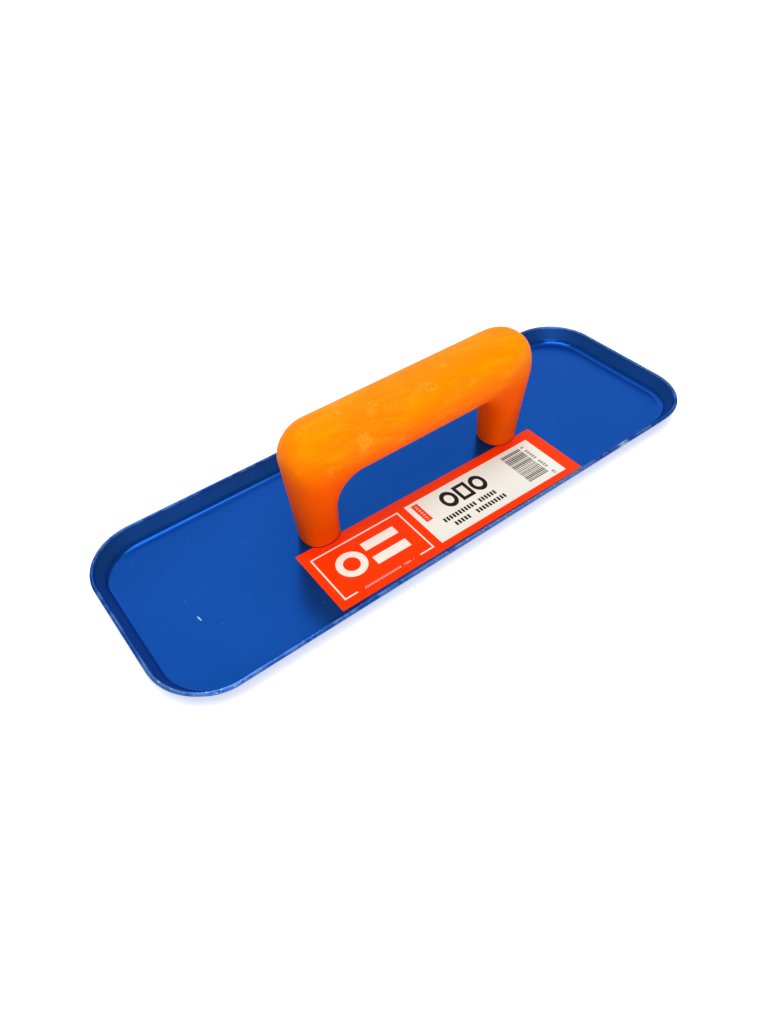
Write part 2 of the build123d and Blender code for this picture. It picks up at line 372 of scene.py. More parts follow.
class TrayShape:
    """Numbers of the pressed tray that its mesh and the label's share.

    trim is what rounding an edge of the rim takes off its reach, rim_foot the height of the
    rim's outer edge before it is rounded, turn the angle of the bend, inset how far the
    floor's edge lies inside the rim, and corner the radius of that edge at the corners.
    """

    def __init__(self, tray):
        self.tray = tray
        self.lean = tray.lean
        self.outer_bend = tray.bend + tray.sheet
        self.trim = tray.rim_round * (np.sin(self.lean) + np.cos(self.lean) - 1)
        self.rim_foot = TRAY_HIGH.z + self.trim - tray.sheet * np.sin(self.lean)
        self.turn = np.pi / 2 - self.lean
        overhang = self.rim_foot * np.tan(self.lean) - self.trim
        self.inset = overhang + self.outer_bend * np.tan(self.turn / 2)
        self.reach_x = TRAY_HIGH.x - self.inset
        self.reach_y = TRAY_HIGH.y - self.inset
        self.corner = tray.corner - self.inset

    def bend_arc(self, offset, start, end, count):
        """Arc of the bend in the layer offset from the sole, as (out, up) points.

        Out is r sin a and up is R - r cos a, where R is the outside radius, r is R - offset
        and a goes from start to end.
        """
        a = np.linspace(start, end, count)
        radius = self.outer_bend - offset
        return np.stack([radius * np.sin(a), self.outer_bend - radius * np.cos(a)], 1)

    def wall_profile(self):
        """Cut through bend, wall and rim as (out, up) from the floor's edge.

        It runs up the inner bend and wall, over the rim with a quarter circle on each edge,
        and down the outer wall and bend.
        """
        up = np.array([np.sin(self.lean), np.cos(self.lean)])
        over = np.array([np.cos(self.lean), -np.sin(self.lean)])
        outer_edge = np.array([self.inset + self.trim, self.rim_foot])
        inner_edge = outer_edge - over * self.tray.sheet
        r = self.tray.rim_round
        a = np.linspace(0, np.pi / 2, ROUND_ROWS)[:, None]
        inner_round = inner_edge - up * r + over * r + r * (up * np.sin(a) - over * np.cos(a))
        outer_round = outer_edge - up * r - over * r + r * (up * np.cos(a) + over * np.sin(a))
        inner_bend = self.bend_arc(self.tray.sheet, 0, self.turn, BEND_ROWS)
        outer_bend = self.bend_arc(0, self.turn, 0, BEND_ROWS)
        inner_wall = along(inner_bend[-1], inner_round[0], WALL_ROWS)[1:-1]
        outer_wall = along(outer_round[-1], outer_bend[0], WALL_ROWS)[1:-1]
        rows = [inner_bend, inner_wall, inner_round, outer_round, outer_wall, outer_bend]
        return np.concatenate(rows)

    def right_half(self):
        """Edge of the floor's right half, counter-clockwise from the middle of the near side.

        Returns points and outward normals of the two straight sides, the end and the two
        quarter circles between them, c + r n where n turns by a quarter.
        """
        centre_x, centre_y = self.reach_x - self.corner, self.reach_y - self.corner
        a = np.linspace(0, np.pi / 2, CORNER_STEPS + 1)[:, None]
        near_n = np.concatenate([np.sin(a), -np.cos(a)], 1)
        far_n = np.concatenate([np.cos(a), np.sin(a)], 1)
        near_arc = (centre_x, -centre_y) + self.corner * near_n
        far_arc = (centre_x, centre_y) + self.corner * far_n
        near = along((0, -self.reach_y), near_arc[0], SIDE_STEPS)[:-1]
        end = along(near_arc[-1], far_arc[0], SIDE_STEPS)[1:-1]
        far = along(far_arc[-1], (0, self.reach_y), SIDE_STEPS)[1:]
        points = np.concatenate([near, near_arc, end, far_arc, far])
        normals = np.concatenate(
            [
                np.tile((0.0, -1.0), (len(near), 1)),
                near_n,
                np.tile((1.0, 0.0), (len(end), 1)),
                far_n,
                np.tile((0.0, 1.0), (len(far), 1)),
            ]
        )
        return points, normals


def ring_at(centre, bearing, radius, height):
    """Circle about a foot's axis: (centre + radius cos b, radius sin b, height)."""
    x = centre + radius * np.cos(bearing)
    return np.stack([x, radius * np.sin(bearing), np.full_like(x, height)], -1)


def tray_patches(shape):
    """Grids of the whole tray: floor, wall and dimple of the right half, and their mirror.

    The half floor is a fan of straight lines from the dimple's circle to the half's edge, top
    and bottom; the wall is its profile carried along the edge; the dimple is a ring of cones.
    """
    tray = shape.tray
    centre = tray.foot_spacing / 2
    edge, normal = shape.right_half()
    middle = along(edge[-1], edge[0], MIDDLE_STEPS + 1)[1:]
    loop = np.concatenate([edge, middle])
    bearing = np.arctan2(loop[:, 1], loop[:, 0] - centre)
    sheet = tray.sheet
    dimple_reach = tray.seat + sheet * 2**0.5
    top = dimple_reach - tray.hole - tray.land
    t = np.linspace(0, 1, FLOOR_ROWS)[:, None, None]
    upper_ring = ring_at(centre, bearing, dimple_reach - sheet, sheet)
    lower_ring = ring_at(centre, bearing, tray.seat, 0.0)
    upper_edge = np.column_stack([loop, np.full(len(loop), sheet)])
    lower_edge = np.column_stack([loop, np.zeros(len(loop))])
    upper = upper_ring * (1 - t) + upper_edge * t
    lower = lower_edge * (1 - t) + lower_ring * t
    out, up = shape.wall_profile().T
    plan = edge[None] + out[:, None, None] * normal[None]
    wall = np.concatenate([plan, np.broadcast_to(up[:, None, None], plan.shape[:2] + (1,))], 2)
    dimple = np.stack(
        [
            lower_ring,
            ring_at(centre, bearing, tray.hole, tray.seat - tray.hole),
            ring_at(centre, bearing, tray.hole, top),
            ring_at(centre, bearing, tray.hole + tray.land, top),
            upper_ring,
        ]
    )
    right = [upper, wall, lower, dimple]
    left = [patch[:, ::-1] * (-1, 1, 1) for patch in right]
    return right + left


def most_worn(x, y):
    """Masks of the rim's most worn stretches: the near left corner, and the others.

    The others are the middle of the near side, the right end and a trace of the far side.
    """
    corner = x.rise(-95.0, -140.0) * y.rise(0.0, -45.0)
    near_side = x.rise(-60.0, 10.0) * x.rise(80.0, 50.0) * y.rise(0.0, -40.0)
    right_end = x.rise(100.0, 140.0) * y.rise(-40.0, -25.0)
    far_side = y.rise(40.0, 47.0) * 0.05
    return corner, near_side.either(right_end).either(far_side)


def rim_chip(x, y, z, fine):
    """Ragged chip in the near rim: a short stretch of its edge, broken up by the fine noise."""
    stretch = abs(x - CHIP_X_MM).rise(4.4, 1.6) * y.rise(-47.6, -48.3) * z.rise(7.6, 8.4)
    return stretch * fine.rise(0.36, 0.48)


def floor_scratch(x, y, z):
    """Short scratch on the floor: a narrow band along a line that leans a little."""
    beside = x - SCRATCH_MM[0] + (y - SCRATCH_MM[1]) * SCRATCH_LEAN
    above_sole = z.rise(0.5, 1.2)
    return beside.within(-0.2, 0.2, 0.14) * y.within(*SCRATCH_ENDS_MM, 0.5) * above_sole


def paint_finish(tray):
    """Glossy paint over steel: faint waves and orange peel, dust, a scratch and a scuffed rim, with
    painted shade darkening the walls and a painted highlight lightening the rim.

    The rim's scuffs and bare spots are two noises, raised over the most worn stretches and
    cut at a level: smooth steps from 0 to 1 on noise + worn stretches + overall wear.
    """
    f = Finish("tray_paint")
    place = f.object_place()
    x, y, z = f.split(place)
    wave = f.noise(place, 0.022, 2.0)
    peel = f.noise(place, 0.9, 1.0)
    grain = f.noise(place, 0.17, 3.0, 0.55)
    fine = f.noise(place, 1.2, 2.0, 0.5)
    specks = f.noise(place, 0.62, 1.0)
    rim = z.rise(*RIM_FADE_MM)
    wall = z.within(*WALL_MM, 0.7)
    bend = z.within(*BEND_MM, 0.2)
    corner, stretches = most_worn(x, y)
    scuffed = (grain + corner * 0.13 + stretches * 0.26 + tray.wear * 0.12).rise(0.48, 0.76) * rim
    bare = (fine + corner * 0.08 + stretches * 0.07 + tray.wear * 0.08).rise(0.70, 0.77)
    bare = bare * z.rise(*BARE_FADE_MM)
    chip = rim_chip(x, y, z, fine)
    dust = specks.rise(0.755, 0.80) * (1 - rim)
    cloud = wave.rise(0.3, 0.7)
    # Painted highlight: the whole rim is made lighter, standing in for the light its edge catches.
    base = f.mix(rim * 0.85, opaque(tray.paint), opaque(scaled(tray.paint, 1.45, 0.016)))
    # Painted shade: the walls are darkened towards this colour, standing in for the shade and dark
    # reflections on them.
    base = f.mix(wall * 0.55, base, opaque(WALL_PAINTED_SHADE))
    base = f.mix(cloud * 0.35, base, opaque(scaled(tray.paint, 1.25, 0.004)))
    base = f.mix(scuffed * 0.7, base, opaque(tray.chipped))
    base = f.mix(dust * 0.3, base, opaque(DUSTY_PAINT))
    base = f.mix((bare * 0.6).either(chip * 0.9), base, opaque(BARE_STEEL))
    base = f.mix(floor_scratch(x, y, z), base, opaque(SCRATCHED_STEEL))
    worn_roughness = scuffed * 0.25 + dust * 0.2 + grain * 0.06
    roughness = 0.15 + cloud * 0.07 + worn_roughness + wall * 0.26 - bend * 0.05
    height = wave * 0.9 + peel * 0.035 - scuffed * 0.05 - bare * 0.06
    return f.surface(
        Base_Color=base,
        Roughness=roughness,
        Metallic=0.62 - wall * 0.22,
        Specular_IOR_Level=PAINT_SPECULAR,
        Specular_Tint=opaque(PAINT_GLEAM),
        Normal=f.bump(height, 0.16 * MM),
    )


class FLOAT_OT_tray(bpy.types.Operator):
    """Build the pressed tray with its dimpled screw holes and paint it"""

    bl_idname = "handfloat.tray"
    bl_label = "Pressed tray"

    def execute(self, context):
        tray = context.scene.float_tray
        piece = closed_mesh("pressed_tray", tray_patches(TrayShape(tray)), TRAY_CREASE)
        piece.data.materials.append(paint_finish(tray))
        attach(piece, "root")
        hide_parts("float_plate")
        return {"FINISHED"}


# ---- Handle ---------------------------------------------------------------------------------

AROUND = 80  # points round one section
LEG_ROWS = 26
TURN_ROWS = 26
GRIP_ROWS = 14
FOOT_ROWS = 7
HANDLE_CREASE = np.radians(40)
SWELL_AT_BEND = 0.6  # share of the way to full breadth where the leg ends
SWELL_POWER = 1.3  # how late the breadth grows
DIMPLE_CLEARANCE = 0.2 * MM  # between the tray's dimple and the hollow for it
INSERT_RADIUS = 4.0 * MM
INSERT_LENGTH = 12.0 * MM
INSERT_CLEARANCE = 0.03 * MM
TIP_SPACE = 1.6 * MM  # free space above the screw
DEEP_ORANGE = (0.88, 0.13, 0.0)
CREASED_PLASTIC = (1.0, 0.52, 0.05)
PLASTIC_SPECULAR = 0.06
PLASTIC_GLEAM = (1.0, 0.5, 0.03)  # tint of its reflections


def rail(foot_x, spread, height, bend, base):
    """One side of the handle in the XZ plane: up a leg, round a bend and along to the middle.

    The bend is the circle of that radius that touches both straight lines; it is walked by
    equal angles. Returns leg, bend and grip points as (x, z) arrays.
    """
    start, corner = np.array([foot_x, base]), np.array([foot_x + spread, height])
    down = (start - corner) / np.linalg.norm(start - corner)
    level = np.array([-1.0, 0.0])
    half = np.arccos(down @ level) / 2
    centre = corner + (down + level) / np.linalg.norm(down + level) * bend / np.sin(half)
    first = corner + down * bend / np.tan(half) - centre
    last = corner + level * bend / np.tan(half) - centre
    whole = np.arccos(first @ last / bend**2)
    a = np.linspace(0, whole, TURN_ROWS + 1)[:, None]
    turn = centre + (np.sin(whole - a) * first + np.sin(a) * last) / np.sin(whole)
    return along(start, turn[0], LEG_ROWS + 1), turn, along(turn[-1], (0.0, height), GRIP_ROWS + 1)


def foot_hollow(tray, middle, bearing):
    """Rings inside a foot, from the top down: the screw's tip, the insert's bed and the dimple.

    Each is a circle of (radius, height) about the foot's axis; the hollow for the dimple is a
    cone of 45 degrees, so its radius and height always add up to its reach.
    """
    reach = tray.seat + (tray.sheet + DIMPLE_CLEARANCE) * 2**0.5
    roof = tray.seat + tray.sheet * 2**0.5 - tray.hole - tray.land + DIMPLE_CLEARANCE
    bed_radius = INSERT_RADIUS + INSERT_CLEARANCE
    bed_top = roof + INSERT_LENGTH + INSERT_CLEARANCE
    bed_foot = roof - INSERT_CLEARANCE
    steps = [
        (0.0, SCREW_TIP + TIP_SPACE),
        (tray.hole, SCREW_TIP + TIP_SPACE),
        (tray.hole, bed_top),
        (bed_radius, bed_top),
        (bed_radius, bed_foot),
        (reach - bed_foot, bed_foot),
        (reach - HANDLE_LOW.z, HANDLE_LOW.z),
    ]
    rings = np.stack([ring_at(middle, bearing, radius, height) for radius, height in steps])
    rings[:, -1] = rings[:, 0]
    return rings


def foot_edge(handle, middle, ring_x, ring_y):
    """Rings of the quarter round on a foot's bottom edge, moved out a little as the leg leans.

    A ring has radius R - r (1 - sin a) at a height of r (1 - cos a) above the foot's bottom,
    where R is the foot's radius, r the round's, and a goes from 0 to a quarter turn.
    """
    a = np.linspace(0, np.pi / 2, FOOT_ROWS)[:, None]
    radius = handle.foot / 2 - handle.foot_round * (1 - np.sin(a))
    lift = handle.foot_round * (1 - np.cos(a))
    spread = (handle.outer_spread + handle.inner_spread) / 2
    x = middle + lift * spread / (HANDLE_HIGH.z - HANDLE_LOW.z) + radius * ring_x
    z = np.broadcast_to(HANDLE_LOW.z + lift, x.shape)
    return np.stack([x, radius * ring_y, z], -1)


def handle_rings(handle, tray):
    """Rings of the right half of the handle, from inside its foot up to the middle of the grip.

    A ring is C + A s(cos a) + D s(sin a), where C is midway between the two rails, A is half
    the way across them, D is the half breadth along Y, and s keeps the sign of its value and
    raises its size to 2 / fullness. D grows from the foot's radius to the grip's half breadth
    as a power of the way up.
    """
    a = -2 * np.pi * np.arange(AROUND + 1) / AROUND
    power = 2 / handle.fullness
    ring_x = np.sign(np.cos(a)) * np.abs(np.cos(a)) ** power
    ring_y = np.sign(np.sin(a)) * np.abs(np.sin(a)) ** power
    ring_x[-1], ring_y[-1] = ring_x[0], ring_y[0]
    radius, middle, base = handle.foot / 2, tray.foot_spacing / 2, HANDLE_LOW.z
    outer = rail(middle + radius, handle.outer_spread, HANDLE_HIGH.z, handle.outer_bend, base)
    inner = rail(middle - radius, handle.inner_spread, handle.underside, handle.inner_bend, base)
    in_leg = SWELL_AT_BEND * np.linspace(0, 1, LEG_ROWS + 1)
    in_turn = SWELL_AT_BEND + (1 - SWELL_AT_BEND) * np.linspace(0, 1, TURN_ROWS + 1)
    growth = [in_leg**SWELL_POWER, in_turn**SWELL_POWER, np.ones(GRIP_ROWS + 1)]
    # Rows left out: two for the foot's round, then each part's first, the last of the one before.
    skip = [2, 1, 1]
    high = np.concatenate([part[n:] for part, n in zip(outer, skip)])
    low = np.concatenate([part[n:] for part, n in zip(inner, skip)])
    swell = np.concatenate([part[n:] for part, n in zip(growth, skip)])
    centre, across = (high + low) / 2, (high - low) / 2
    breadth = radius + (HANDLE_HIGH.y - radius) * swell
    x = centre[:, :1] + across[:, :1] * ring_x
    z = centre[:, 1:] + across[:, 1:] * ring_x
    upper = np.stack([x, breadth[:, None] * ring_y, z], -1)
    lower = [foot_hollow(tray, middle, a), foot_edge(handle, middle, ring_x, ring_y)]
    return np.concatenate([*lower, upper])


def plastic_finish(handle):
    """Satin moulded plastic: clouds of flow, fine flow lines, rubbed patches and crinkles, over painted
    shade that darkens and reddens it down the legs.

    A line or crinkle is where a noise is close to 0.5, which draws its contour. Masks along X
    and up the grip, and two broad noises, keep them to patches, and the lines to the near side.
    """
    f = Finish("handle_plastic")
    place = f.object_place()
    x, y, z = f.split(place)
    flow = f.noise(f.stretch(place, (0.35, 1.0, 1.0)), 0.11, 4.0, 0.6, 1.2)
    swirl = f.noise(f.stretch(place, (0.5, 1.3, 1.0)), 0.34, 3.0, 0.6, 2.4)
    crinkle = f.noise(place, 0.34, 2.0, 0.6, 2.2)
    pores = f.noise(place, 1.6, 2.0, 0.6)
    skin = f.noise(place, 0.055, 2.0)
    grip = z.rise(38.0, 55.0)
    front = (y + 3.0).rise(10.0, -6.0)
    rubbed = grip * flow.rise(0.46, 0.66)
    lined = grip * front * (x + 12.0).within(-42.0, 30.0, 14.0) * skin.rise(0.42, 0.58)
    flow_lines = abs(swirl - 0.5).rise(0.020, 0.004) * lined
    patches = f.noise(place, 0.085, 1.0).rise(0.59, 0.66) * (x + 10.0).within(-46.0, 40.0, 10.0)
    crinkles = abs(crinkle - 0.5).rise(0.065, 0.02) * grip * patches
    marks = flow_lines.either(crinkles)
    red, green, _ = handle.plastic
    # Painted shade: lower down, the plastic goes darker and redder, and up on the grip lighter and
    # yellower, standing in for light falling from above.
    painted_shade_on_legs = opaque((red * 0.97, green * 0.4, 0.0))
    base = f.mix(z.rise(33.0, 62.0), painted_shade_on_legs, opaque(handle.plastic))
    base = f.mix(rubbed * 0.45, base, opaque(handle.rubbed))
    base = f.mix(marks * 0.6, base, opaque(CREASED_PLASTIC))
    base = f.mix(skin.rise(0.35, 0.7) * 0.15, base, opaque(DEEP_ORANGE))
    roughness = 0.44 + pores * 0.1 + rubbed * 0.07 - marks * 0.06 + skin * 0.05
    height = flow * 0.30 + swirl * 0.10 + pores * 0.05 + marks * 0.35
    return f.surface(
        Base_Color=base,
        Roughness=roughness,
        Specular_IOR_Level=PLASTIC_SPECULAR,
        Specular_Tint=opaque(PLASTIC_GLEAM),
        Normal=f.bump(height, 0.22 * MM),
    )


class FLOAT_OT_handle(bpy.types.Operator):
    """Build the one-piece moulded handle"""

    bl_idname = "handfloat.handle"
    bl_label = "Moulded handle"

    def execute(self, context):
        handle, tray = context.scene.float_handle, context.scene.float_tray
        right = handle_rings(handle, tray)
        left = right[::-1] * (-1, 1, 1)
        rings = np.concatenate([right, left[1:]])
        piece = closed_mesh("moulded_handle", [rings], HANDLE_CREASE)
        piece.data.materials.append(plastic_finish(handle))
        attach(piece, "root")
        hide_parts("handle")
        return {"FINISHED"}


# ---- Label ----------------------------------------------------------------------------------

LABEL_ROWS = 40
LABEL_COLUMNS = 260  # between the rounds at the film's ends
LABEL_ROUND_STEPS = 6
LABEL_CREASE = np.radians(50)

# Marks are (from u, to u, from v, to v) in millimetres, u along the film and v across it.
BORDER = (3.8, 50.5, 4.1, 30.5)
BORDER_GAP = (10.3, 43.0, 3.0, 5.6)
DASHES = (14.0, 39.4, 3.9, 4.8)
BADGE_RING = (10.0, 24.0, 11.2, 25.2)
BADGE_BARS = ((26.0, 43.5, 20.4, 25.2), (26.0, 43.5, 11.2, 16.0))
PANEL = (54.6, 130.4, 3.9, 30.9)
TAG = (57.2, 60.8, 17.5, 29.4)
TAG_ROW = (57.2, 60.8, 18.6, 28.2)
PANEL_RINGS = ((70.1, 78.3, 17.5, 27.7), (87.5, 95.7, 17.5, 27.7))
SQUARE = (79.2, 86.6, 17.6, 27.6)
UPPER_WORDS = (63.5, 95.9, 12.0, 14.6)
LOWER_WORDS = (66.4, 96.4, 7.6, 10.1)
STRIPES = (111.0, 123.0, 7.4, 28.5)
STRIPE_PITCH = 0.98
DIGITS = (124.0, 125.7, 5.2, 28.4)
DIGIT_PITCH = 1.5
WARM_INK = (1.0, 0.060, 0.001)
FILM_SPECULAR = 0.1
FILM_GLEAM = (1.0, 0.6, 0.35)  # tint of its reflections


def label_patches(label, handle, shape):
    """Grids of the film and of their own places (along, across) in millimetres.

    A point is (u, v) on the flat film, u along it and v from its near edge to its far edge,
    which is notched by a foot's outline grown by the gap. Turned and shifted to the plan
    (x, y), it gets the height of the tray's layer there: flat on the floor, and
    R - sqrt((R - offset)^2 - s^2) at a distance s past the floor's edge.
    """
    round_u = np.linspace(0, label.corner, LABEL_ROUND_STEPS)
    end = label.length - label.corner
    straight_u = np.linspace(label.corner, end, LABEL_COLUMNS)[1:-1]
    u = np.concatenate([round_u, straight_u, round_u + end])
    from_straight = np.maximum(label.corner - np.minimum(u, label.length - u), 0)
    cut = label.corner - np.sqrt(np.maximum(label.corner**2 - from_straight**2, 0))
    along_u = u - label.length / 2
    cos_t, sin_t = np.cos(label.turn), np.sin(label.turn)
    middle_y = label.width / 2 - shape.reach_y - label.creep
    top = label.width - cut
    notch = handle.foot / 2 + label.foot_gap
    for side in (-1, 1):
        x = label.shift + along_u * cos_t - (top - label.width / 2) * sin_t
        off = np.minimum(np.abs(x - side * shape.tray.foot_spacing / 2) / notch, 1)
        line = -notch * (1 - off**handle.fullness) ** (1 / handle.fullness)
        at_notch = label.width / 2 + (line - middle_y - along_u * sin_t) / cos_t
        top = np.where(off < 1, np.minimum(top, at_notch), top)
    t = np.linspace(0, 1, LABEL_ROWS)[:, None]
    v = cut * (1 - t) + top * t

    def layer(offset):
        """The film's points at this offset from the sole, as a grid of (x, y, z)."""
        x = label.shift + along_u * cos_t - (v - label.width / 2) * sin_t
        y = middle_y + along_u * sin_t + (v - label.width / 2) * cos_t
        past = np.maximum(np.abs(y) - shape.reach_y, 0)
        z = shape.outer_bend - np.sqrt((shape.outer_bend - offset) ** 2 - past**2)
        return np.stack([x, y, z], -1)

    low = shape.tray.sheet + label.glue
    face, back = layer(low + label.thickness), layer(low)
    grid_u = np.broadcast_to(u, v.shape)
    place = np.stack([grid_u, v, np.zeros_like(v)], -1) / MM

    def sides(upper, under):
        """Both faces and the four thin edges between them, all facing outwards."""
        near_far = [np.stack([upper[0], under[0]]), np.stack([under[-1], upper[-1]])]
        ends = [np.stack([under[:, 0], upper[:, 0]]), np.stack([upper[:, -1], under[:, -1]])]
        return [upper[::-1], under] + near_far + ends

    return sides(face, back), sides(place, place)


class Marks:
    """Masks of printed marks, as products of soft steps along u and across v."""

    soft = 0.09  # half the width of a mark's blurred edge, in millimetres

    def __init__(self, finish, u, v):
        self.finish, self.u, self.v = finish, u, v

    def block(self, u0, u1, v0, v1):
        return self.u.within(u0, u1, self.soft) * self.v.within(v0, v1, self.soft)

    def outline(self, u0, u1, v0, v1, line):
        inside = self.block(u0 + line, u1 - line, v0 + line, v1 - line)
        return self.block(u0, u1, v0, v1) * (1 - inside)

    def ring(self, u0, u1, v0, v1, line):
        """Oval ring: where sqrt(a^2 + b^2) is just under 1, a and b in half sizes."""
        half_u, half_v = (u1 - u0) / 2, (v1 - v0) / 2
        a = abs(self.u - (u0 + half_u)) / half_u
        b = abs(self.v - (v0 + half_v)) / half_v
        reach = (a * a + b * b).math("SQRT")
        return reach.within(1 - line / half_u, 1.0, self.soft / half_u)

    def row(self, u0, u1, v0, v1, pitch, fill, seed):
        """Row of like blocks with a random gap now and then, as stand-in for words."""
        steps = (self.u - u0) / pitch
        luck = self.finish.chance(self.finish.joined(steps.math("FLOOR"), seed))
        blocks = steps.math("FRACT").within(0.10, fill, 0.06)
        return self.block(u0, u1, v0, v1) * blocks * luck.rise(0.10, 0.14)


def print_masks(f, u, v):
    """Where each ink lies: the pale one, the panel, the tag on it, its marks, and the dark one.

    The pale ink is a border with dashes in a gap of its near side, and in it a ring and two
    bars. The panel has a tag, two rings and a square, two rows of blocks in place of words,
    stripes of random widths and a row of small blocks beside them.
    """
    marks = Marks(f, u, v)
    border = marks.outline(*BORDER, line=0.7) * (1 - marks.block(*BORDER_GAP))
    dashes = marks.row(*DASHES, pitch=1.05, fill=0.55, seed=3.0) * 0.7
    badge = marks.ring(*BADGE_RING, line=3.2)
    for bar in BADGE_BARS:
        badge = badge.either(marks.block(*bar))
    pale = border.either(dashes).either(badge)
    tag_marks = marks.row(*TAG_ROW, pitch=9.0, fill=0.9, seed=9.0) * u.within(58.3, 59.7, marks.soft)
    tag_marks = tag_marks * (v * 0.62).math("FRACT").within(0.2, 0.7, 0.1)
    dark = marks.outline(*SQUARE, line=1.8)
    for place in PANEL_RINGS:
        dark = dark.either(marks.ring(*place, line=1.9))
    dark = dark.either(marks.row(*UPPER_WORDS, pitch=1.72, fill=0.74, seed=1.0))
    dark = dark.either(marks.row(*LOWER_WORDS, pitch=1.78, fill=0.74, seed=2.0))
    stripe = v / STRIPE_PITCH
    luck = f.chance(f.joined(stripe.math("FLOOR"), 5.0))
    stripes = marks.block(*STRIPES) * (stripe.math("FRACT") - luck * 0.45).rise(0.38, 0.26)
    digit = v / DIGIT_PITCH
    luck = f.chance(f.joined(digit.math("FLOOR"), 7.0)).rise(0.22, 0.26)
    digits = marks.block(*DIGITS) * digit.math("FRACT").within(0.15, 0.8, 0.08) * luck
    dark = dark.either(stripes * 0.92).either(digits * 0.7)
    return pale, marks.block(*PANEL), marks.block(*TAG), tag_marks, dark


def label_finish(label):
    """Print on a satin film, read from the film's own place in millimetres."""
    f = Finish("label_print")
    u, v, _ = f.split(f.node("ShaderNodeAttribute", {"attribute_name": "place"}, output="Vector"))
    pale, panel, tag, tag_marks, dark = print_masks(f, u, v)
    place = f.object_place()
    mottle = f.noise(place, 0.12, 3.0)
    fibre = f.noise(place, 2.2, 2.0)
    base = f.mix(mottle.rise(0.3, 0.7) * 0.25, opaque(label.ground), opaque(WARM_INK))
    base = f.mix(pale, base, opaque(label.pale))
    base = f.mix(panel, base, opaque(label.panel))
    base = f.mix(tag * panel, base, opaque(label.ground))
    base = f.mix(tag_marks * 0.5, base, opaque(label.pale))
    base = f.mix(dark * panel, base, opaque(label.dark))
    roughness = 0.42 + mottle * 0.08 + fibre * 0.05 - dark * 0.05
    height = mottle * 0.5 + fibre * 0.05 + dark * 0.06
    return f.surface(
        Base_Color=base,
        Roughness=roughness,
        Specular_IOR_Level=FILM_SPECULAR,
        Specular_Tint=opaque(FILM_GLEAM),
        Normal=f.bump(height, 0.06 * MM),
    )


class FLOAT_OT_label(bpy.types.Operator):
    """Lay the printed label on the tray's floor"""

    bl_idname = "handfloat.label"
    bl_label = "Printed label"

    def execute(self, context):
        scene = context.scene
        shape = TrayShape(scene.float_tray)
        patches, places = label_patches(scene.float_label, scene.float_handle, shape)
        piece = closed_mesh("printed_label", patches, LABEL_CREASE, places)
        piece.data.materials.append(label_finish(scene.float_label))
        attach(piece, "root")
        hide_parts("label")
        return {"FINISHED"}


# ---- Screws and inserts ---------------------------------------------------------------------

STAINED_ZINC = (0.36, 0.35, 0.31)
STAINED_BRASS = (0.42, 0.27, 0.12)


def metal_finish(name, tint, stain, scratch_scale):
    """Worn metal: fine scratches and stains that change its colour and roughness."""
    f = Finish(name)
    place = f.object_place()
    stains = f.noise(place, 0.7, 4.0, 0.65)
    scratches = f.noise(f.stretch(place, (1.0, 6.0, 1.0)), scratch_scale, 2.0)
    base = f.mix(stains.rise(0.45, 0.68) * 0.6, opaque(tint), opaque(stain))
    roughness = 0.26 + stains * 0.22 + scratches * 0.12
    normal = f.bump(scratches * 0.3 + stains * 0.4, 0.03 * MM)
    return f.surface(Base_Color=base, Metallic=1.0, Roughness=roughness, Normal=normal)


def give(nodes, material):
    """Put one material on CAD nodes that keep their own shape."""
    for name in nodes:
        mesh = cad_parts[name].data
        mesh.materials.clear()
        mesh.materials.append(material)


class FLOAT_OT_screws(bpy.types.Operator):
    """Give the two screws their zinc plating"""

    bl_idname = "handfloat.screws"
    bl_label = "Screws"

    def execute(self, context):
        tint = context.scene.float_metal.zinc
        zinc = metal_finish("screw_zinc", tint, STAINED_ZINC, 1.2)
        give(("left_screw", "right_screw"), zinc)
        return {"FINISHED"}


class FLOAT_OT_inserts(bpy.types.Operator):
    """Give the two threaded inserts their brass"""

    bl_idname = "handfloat.inserts"
    bl_label = "Threaded inserts"

    def execute(self, context):
        tint = context.scene.float_metal.brass
        brass = metal_finish("insert_brass", tint, STAINED_BRASS, 1.6)
        give(("left_insert", "right_insert"), brass)
        return {"FINISHED"}


# ---- Stage ----------------------------------------------------------------------------------

FLOOR_DROP = 0.2 * MM  # how far the floor lies below the sole
WHITE = (1.0, 1.0, 1.0)
LIGHT_AIM = (0.0, 0.0, 0.02)
KEY_PLACE = (-0.10, -0.12, 1.10)
KEY_SIZE = 0.8
BACK_PLACE = (0.65, 1.15, 1.05)
BACK_SIZE = 2.0
FILL_PLACE = (-0.48, -0.84, 0.42)
FILL_SIZE = 0.7
SKY_COLOUR = (0.96, 0.98, 1.0)
SENSOR_WIDTH_MM = 36.0
NEAREST, FARTHEST = 0.01, 20.0  # distances that the camera sees between


def floor_finish(tint, glow):
    """Matt pale studio floor with the faintest mottling and a little light of its own."""
    f = Finish("studio_floor")
    place = f.object_place()
    mottle = f.noise(place, 0.01, 2.0)
    base = f.mix(mottle * 0.15, opaque(tint), opaque(scaled(tint, 0.985)))
    return f.surface(
        Base_Color=base,
        Roughness=0.9,
        Specular_IOR_Level=0.1,
        Emission_Color=opaque(WHITE),
        Emission_Strength=glow,
    )


def soft_light(name, place, size, watts):
    """Square softbox at a place, facing the middle of the float."""
    light = bpy.data.lights.new(name, "AREA")
    light.shape = "SQUARE"
    light.size = size
    light.energy = watts
    lamp = bpy.data.objects.new(name, light)
    bpy.context.scene.collection.objects.link(lamp)
    lamp.location = place
    lamp.rotation_euler = (Vector(LIGHT_AIM) - Vector(place)).to_track_quat("-Z", "Y").to_euler()


